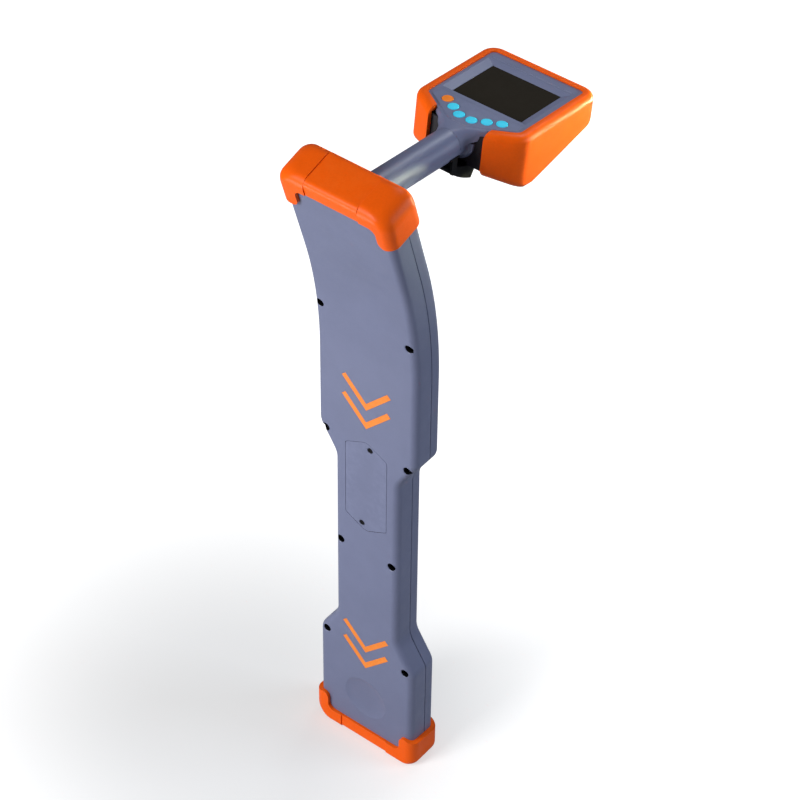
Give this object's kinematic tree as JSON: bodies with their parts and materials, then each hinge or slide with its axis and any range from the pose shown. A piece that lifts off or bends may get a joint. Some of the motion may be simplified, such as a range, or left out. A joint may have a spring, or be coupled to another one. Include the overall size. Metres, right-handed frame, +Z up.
{
  "type": "cable locator",
  "caption": "Hand-held cable locator: waisted blade with search coils between rubber boots, a round handle with trigger, and a tilted display head with keys.",
  "frame": {"origin": "centre of the width and of the seam line at the flat under the lower boot", "axes": "+Z up along the blade, +Y from the user towards the display head, +X across the blade"},
  "size_m": [0.1182, 0.2929, 0.7077],
  "materials": {
    "shell": "fine satin texture",
    "orange_rubber": "satin",
    "charcoal": "fine matt texture",
    "black_plastic": "satin",
    "black_rubber": "matt",
    "dark_steel": "blackened",
    "steel": "bright",
    "chevron": "satin",
    "window": "gloss",
    "cyan_key": "satin",
    "orange_key": "satin",
    "clear_rubber": "satin",
    "ferrite": "matt",
    "copper": "enamelled",
    "nickel": "bright",
    "cell": "shrink sleeve",
    "board": "solder mask",
    "chips": "matt",
    "lcd": "framed glass",
    "cable": "matt",
    "ribbon": "satin"
  },
  "bodies": {
    "locator": {"front_shell": "shell", "back_shell": "shell", "seam_gasket": "black_rubber", "case_screws": "dark_steel", "battery_cover": "shell", "cover_screws": "dark_steel", "battery_tray": "black_plastic", "battery_cells": "cell", "battery_contacts": "nickel", "upper_chevrons": "chevron", "lower_chevrons": "chevron", "lower_boot": "orange_rubber", "upper_boot": "orange_rubber", "lower_rod": "ferrite", "lower_winding": "copper", "lower_clips": "black_plastic", "upper_rod": "ferrite", "upper_winding": "copper", "upper_clips": "black_plastic", "upright_rod": "ferrite", "upright_winding": "copper", "upright_clips": "black_plastic", "main_board": "board", "main_chips": "chips", "board_screws": "steel", "ribbon_cable": "ribbon", "handle_tube": "shell", "socket_screws": "dark_steel", "handle_loom": "cable", "neck_screws": "steel", "head_housing": "charcoal", "head_panel": "shell", "head_bumper": "orange_rubber", "screen_window": "window", "lcd_module": "lcd", "head_board": "board", "head_chips": "chips", "head_screws": "dark_steel", "key_mat": "clear_rubber", "beeper": "black_plastic", "trigger_bracket": "black_plastic", "bracket_rivets": "steel", "trigger_pin": "steel", "trigger_spring": "steel", "trigger_switch": "black_plastic"},
    "power_key": {"power_key": "orange_key"},
    "key_a": {"key_a": "cyan_key"},
    "key_b": {"key_b": "cyan_key"},
    "key_c": {"key_c": "cyan_key"},
    "key_d": {"key_d": "cyan_key"},
    "key_e": {"key_e": "cyan_key"},
    "trigger": {"trigger": "black_plastic"}
  },
  "joints": [
    {"name": "power_key_press", "type": "slide", "parent": "locator", "child": "power_key", "axis": [0, -0.1132, -0.9936], "range_m": [0, 0.0008], "stiffness_N_per_m": 300, "springref_m": -0.001},
    {"name": "key_a_press", "type": "slide", "parent": "locator", "child": "key_a", "axis": [0, -0.1132, -0.9936], "range_m": [0, 0.0008], "stiffness_N_per_m": 300, "springref_m": -0.001},
    {"name": "key_b_press", "type": "slide", "parent": "locator", "child": "key_b", "axis": [0, -0.1132, -0.9936], "range_m": [0, 0.0008], "stiffness_N_per_m": 300, "springref_m": -0.001},
    {"name": "key_c_press", "type": "slide", "parent": "locator", "child": "key_c", "axis": [0, -0.1132, -0.9936], "range_m": [0, 0.0008], "stiffness_N_per_m": 300, "springref_m": -0.001},
    {"name": "key_d_press", "type": "slide", "parent": "locator", "child": "key_d", "axis": [0, -0.1132, -0.9936], "range_m": [0, 0.0008], "stiffness_N_per_m": 300, "springref_m": -0.001},
    {"name": "key_e_press", "type": "slide", "parent": "locator", "child": "key_e", "axis": [0, -0.1132, -0.9936], "range_m": [0, 0.0008], "stiffness_N_per_m": 300, "springref_m": -0.001},
    {"name": "trigger_pull", "type": "hinge", "parent": "locator", "child": "trigger", "pos_m": [0, 0.07809, 0.64028], "axis": [1, 0, 0], "range_deg": [0, 8], "stiffness_Nm_per_rad": 0.6, "springref_deg": -5.73}
  ]
}
